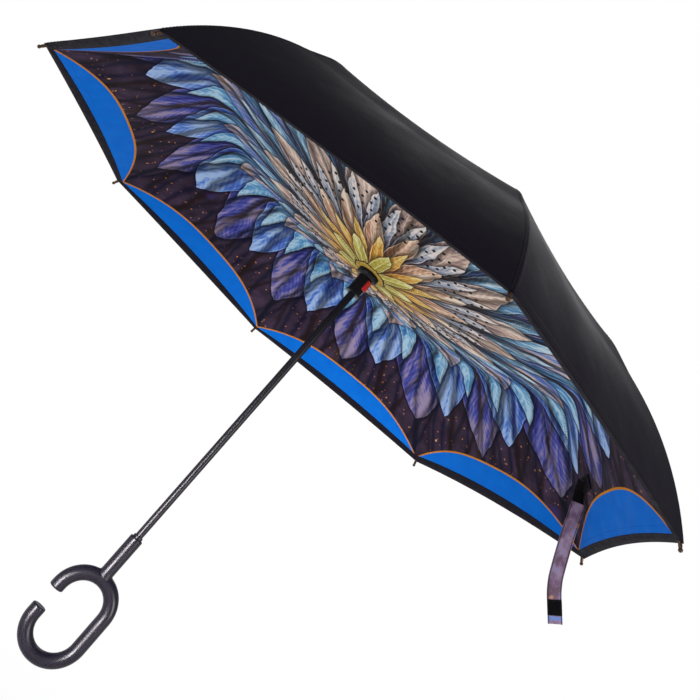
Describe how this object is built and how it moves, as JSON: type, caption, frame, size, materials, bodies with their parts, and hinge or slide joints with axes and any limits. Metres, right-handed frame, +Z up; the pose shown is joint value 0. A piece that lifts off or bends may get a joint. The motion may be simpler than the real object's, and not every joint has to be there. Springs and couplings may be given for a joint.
{
  "type": "reverse umbrella",
  "caption": "Open reverse umbrella: double canopy on ribs that fold up from a sliding runner, steel shaft, C-shaped hand loop, release button and closing strap.",
  "frame": {"origin": "middle of the C-shaped hand loop, on the shaft's axis", "axes": "+Z up along the shaft towards the canopy, +X along rib 1; the loop's mouth opens towards -X"},
  "size_m": [1.0626, 1.0454, 0.8157],
  "materials": {
    "handle_plastic": "satin soft-touch black",
    "hub_plastic": "moulded black, slight sheen",
    "red_plastic": "moulded red",
    "coated_steel": "black powder coat",
    "bright_steel": "plain zinc-plated steel",
    "fibreglass": "drawn black fibreglass",
    "outer_cloth": "black close-woven polyester",
    "printed_cloth": "printed polyester in blues, plum and warm cream",
    "strap_cloth": "printed polyester ribbon",
    "strap_backing": "black hook-and-loop patch"
  },
  "bodies": {
    "root": {"handle": "handle_plastic", "handle_ring": "hub_plastic", "shaft": "coated_steel", "crown": "hub_plastic", "crown_rivet": "bright_steel", "crown_pin_ring": "bright_steel", "ferrule": "hub_plastic", "upper_stop": "bright_steel"},
    "runner": {"runner": "hub_plastic", "runner_flange": "hub_plastic", "runner_end_cap": "hub_plastic", "runner_pin_ring": "bright_steel", "button_spring": "bright_steel"},
    "button": {"release_button": "red_plastic", "latch_plate": "bright_steel"},
    "rib_1": {"rib_1": "coated_steel", "outer_gore_1": "outer_cloth", "inner_gore_1": "printed_cloth"},
    "rod_1": {"rib_rod_1": "fibreglass", "strap": "strap_cloth", "strap_anchor": "strap_backing", "strap_patch": "strap_backing"},
    "strut_1": {"strut_1": "coated_steel"},
    "rib_2": {"rib_2": "coated_steel", "outer_gore_2": "outer_cloth", "inner_gore_2": "printed_cloth"},
    "rod_2": {"rib_rod_2": "fibreglass"},
    "strut_2": {"strut_2": "coated_steel"},
    "rib_3": {"rib_3": "coated_steel", "outer_gore_3": "outer_cloth", "inner_gore_3": "printed_cloth"},
    "rod_3": {"rib_rod_3": "fibreglass"},
    "strut_3": {"strut_3": "coated_steel"},
    "rib_4": {"rib_4": "coated_steel", "outer_gore_4": "outer_cloth", "inner_gore_4": "printed_cloth"},
    "rod_4": {"rib_rod_4": "fibreglass"},
    "strut_4": {"strut_4": "coated_steel"},
    "rib_5": {"rib_5": "coated_steel", "outer_gore_5": "outer_cloth", "inner_gore_5": "printed_cloth"},
    "rod_5": {"rib_rod_5": "fibreglass"},
    "strut_5": {"strut_5": "coated_steel"},
    "rib_6": {"rib_6": "coated_steel", "outer_gore_6": "outer_cloth", "inner_gore_6": "printed_cloth"},
    "rod_6": {"rib_rod_6": "fibreglass"},
    "strut_6": {"strut_6": "coated_steel"},
    "rib_7": {"rib_7": "coated_steel", "outer_gore_7": "outer_cloth", "inner_gore_7": "printed_cloth"},
    "rod_7": {"rib_rod_7": "fibreglass"},
    "strut_7": {"strut_7": "coated_steel"},
    "rib_8": {"rib_8": "coated_steel", "outer_gore_8": "outer_cloth", "inner_gore_8": "printed_cloth"},
    "rod_8": {"rib_rod_8": "fibreglass"},
    "strut_8": {"strut_8": "coated_steel"}
  },
  "joints": [
    {"name": "runner_slide", "type": "slide", "parent": "root", "child": "runner", "axis": [0, 0, -1], "range_m": [0, 0.4054]},
    {"name": "button_press", "type": "slide", "parent": "runner", "child": "button", "axis": [-0.7071, 0.7071, 0], "range_m": [0, 0.0012], "stiffness_N_per_m": 900, "springref_m": -0.0006, "deforming": ["button_spring"]},
    {"name": "rib_1_hinge", "type": "hinge", "parent": "runner", "child": "rib_1", "pos_m": [0.0135, 0, 0.598], "axis": [0, -1, 0], "range_deg": [0, 77.5], "deforming": ["outer_gore_1", "inner_gore_1"]},
    {"name": "rod_1_flex", "type": "hinge", "parent": "rib_1", "child": "rod_1", "pos_m": [0.33498, 0, 0.66049], "axis": [0, -1, 0], "range_deg": [0, 47], "deforming": ["strap", "strap_anchor", "strap_patch"]},
    {"name": "strut_1_hinge", "type": "hinge", "parent": "root", "child": "strut_1", "pos_m": [0.0135, 0.004, 0.722], "axis": [0, 1, 0], "range_deg": [0, 72.48]},
    {"name": "rib_2_hinge", "type": "hinge", "parent": "runner", "child": "rib_2", "pos_m": [0.00955, 0.00955, 0.598], "axis": [0.7071, -0.7071, 0], "range_deg": [0, 77.5], "deforming": ["outer_gore_2", "inner_gore_2"]},
    {"name": "rod_2_flex", "type": "hinge", "parent": "rib_2", "child": "rod_2", "pos_m": [0.23687, 0.23687, 0.66049], "axis": [0.7071, -0.7071, 0], "range_deg": [0, 47]},
    {"name": "strut_2_hinge", "type": "hinge", "parent": "root", "child": "strut_2", "pos_m": [0.00672, 0.01237, 0.722], "axis": [-0.7071, 0.7071, 0], "range_deg": [0, 72.48]},
    {"name": "rib_3_hinge", "type": "hinge", "parent": "runner", "child": "rib_3", "pos_m": [0, 0.0135, 0.598], "axis": [1, 0, 0], "range_deg": [0, 77.5], "deforming": ["outer_gore_3", "inner_gore_3"]},
    {"name": "rod_3_flex", "type": "hinge", "parent": "rib_3", "child": "rod_3", "pos_m": [0, 0.33498, 0.66049], "axis": [1, 0, 0], "range_deg": [0, 47]},
    {"name": "strut_3_hinge", "type": "hinge", "parent": "root", "child": "strut_3", "pos_m": [-0.004, 0.0135, 0.722], "axis": [-1, 0, 0], "range_deg": [0, 72.48]},
    {"name": "rib_4_hinge", "type": "hinge", "parent": "runner", "child": "rib_4", "pos_m": [-0.00955, 0.00955, 0.598], "axis": [0.7071, 0.7071, 0], "range_deg": [0, 77.5], "deforming": ["outer_gore_4", "inner_gore_4"]},
    {"name": "rod_4_flex", "type": "hinge", "parent": "rib_4", "child": "rod_4", "pos_m": [-0.23687, 0.23687, 0.66049], "axis": [0.7071, 0.7071, 0], "range_deg": [0, 47]},
    {"name": "strut_4_hinge", "type": "hinge", "parent": "root", "child": "strut_4", "pos_m": [-0.01237, 0.00672, 0.722], "axis": [-0.7071, -0.7071, 0], "range_deg": [0, 72.48]},
    {"name": "rib_5_hinge", "type": "hinge", "parent": "runner", "child": "rib_5", "pos_m": [-0.0135, 0, 0.598], "axis": [0, 1, 0], "range_deg": [0, 77.5], "deforming": ["outer_gore_5", "inner_gore_5"]},
    {"name": "rod_5_flex", "type": "hinge", "parent": "rib_5", "child": "rod_5", "pos_m": [-0.33498, 0, 0.66049], "axis": [0, 1, 0], "range_deg": [0, 47]},
    {"name": "strut_5_hinge", "type": "hinge", "parent": "root", "child": "strut_5", "pos_m": [-0.0135, -0.004, 0.722], "axis": [0, -1, 0], "range_deg": [0, 72.48]},
    {"name": "rib_6_hinge", "type": "hinge", "parent": "runner", "child": "rib_6", "pos_m": [-0.00955, -0.00955, 0.598], "axis": [-0.7071, 0.7071, 0], "range_deg": [0, 77.5], "deforming": ["outer_gore_6", "inner_gore_6"]},
    {"name": "rod_6_flex", "type": "hinge", "parent": "rib_6", "child": "rod_6", "pos_m": [-0.23687, -0.23687, 0.66049], "axis": [-0.7071, 0.7071, 0], "range_deg": [0, 47]},
    {"name": "strut_6_hinge", "type": "hinge", "parent": "root", "child": "strut_6", "pos_m": [-0.00672, -0.01237, 0.722], "axis": [0.7071, -0.7071, 0], "range_deg": [0, 72.48]},
    {"name": "rib_7_hinge", "type": "hinge", "parent": "runner", "child": "rib_7", "pos_m": [0, -0.0135, 0.598], "axis": [-1, 0, 0], "range_deg": [0, 77.5], "deforming": ["outer_gore_7", "inner_gore_7"]},
    {"name": "rod_7_flex", "type": "hinge", "parent": "rib_7", "child": "rod_7", "pos_m": [0, -0.33498, 0.66049], "axis": [-1, 0, 0], "range_deg": [0, 47]},
    {"name": "strut_7_hinge", "type": "hinge", "parent": "root", "child": "strut_7", "pos_m": [0.004, -0.0135, 0.722], "axis": [1, 0, 0], "range_deg": [0, 72.48]},
    {"name": "rib_8_hinge", "type": "hinge", "parent": "runner", "child": "rib_8", "pos_m": [0.00955, -0.00955, 0.598], "axis": [-0.7071, -0.7071, 0], "range_deg": [0, 77.5], "deforming": ["outer_gore_8", "inner_gore_8"]},
    {"name": "rod_8_flex", "type": "hinge", "parent": "rib_8", "child": "rod_8", "pos_m": [0.23687, -0.23687, 0.66049], "axis": [-0.7071, -0.7071, 0], "range_deg": [0, 47]},
    {"name": "strut_8_hinge", "type": "hinge", "parent": "root", "child": "strut_8", "pos_m": [0.01237, -0.00672, 0.722], "axis": [0.7071, 0.7071, 0], "range_deg": [0, 72.48]}
  ],
  "couplings": [
    {"joint": "rib_1_hinge", "follows": "runner_slide", "rad_per_m": 3.3362},
    {"joint": "rod_1_flex", "follows": "runner_slide", "rad_per_m": 2.0232},
    {"joint": "strut_1_hinge", "follows": "runner_slide", "rad_per_m": 3.1201},
    {"joint": "rib_2_hinge", "follows": "runner_slide", "rad_per_m": 3.3362},
    {"joint": "rod_2_flex", "follows": "runner_slide", "rad_per_m": 2.0232},
    {"joint": "strut_2_hinge", "follows": "runner_slide", "rad_per_m": 3.1201},
    {"joint": "rib_3_hinge", "follows": "runner_slide", "rad_per_m": 3.3362},
    {"joint": "rod_3_flex", "follows": "runner_slide", "rad_per_m": 2.0232},
    {"joint": "strut_3_hinge", "follows": "runner_slide", "rad_per_m": 3.1201},
    {"joint": "rib_4_hinge", "follows": "runner_slide", "rad_per_m": 3.3362},
    {"joint": "rod_4_flex", "follows": "runner_slide", "rad_per_m": 2.0232},
    {"joint": "strut_4_hinge", "follows": "runner_slide", "rad_per_m": 3.1201},
    {"joint": "rib_5_hinge", "follows": "runner_slide", "rad_per_m": 3.3362},
    {"joint": "rod_5_flex", "follows": "runner_slide", "rad_per_m": 2.0232},
    {"joint": "strut_5_hinge", "follows": "runner_slide", "rad_per_m": 3.1201},
    {"joint": "rib_6_hinge", "follows": "runner_slide", "rad_per_m": 3.3362},
    {"joint": "rod_6_flex", "follows": "runner_slide", "rad_per_m": 2.0232},
    {"joint": "strut_6_hinge", "follows": "runner_slide", "rad_per_m": 3.1201},
    {"joint": "rib_7_hinge", "follows": "runner_slide", "rad_per_m": 3.3362},
    {"joint": "rod_7_flex", "follows": "runner_slide", "rad_per_m": 2.0232},
    {"joint": "strut_7_hinge", "follows": "runner_slide", "rad_per_m": 3.1201},
    {"joint": "rib_8_hinge", "follows": "runner_slide", "rad_per_m": 3.3362},
    {"joint": "rod_8_flex", "follows": "runner_slide", "rad_per_m": 2.0232},
    {"joint": "strut_8_hinge", "follows": "runner_slide", "rad_per_m": 3.1201}
  ]
}
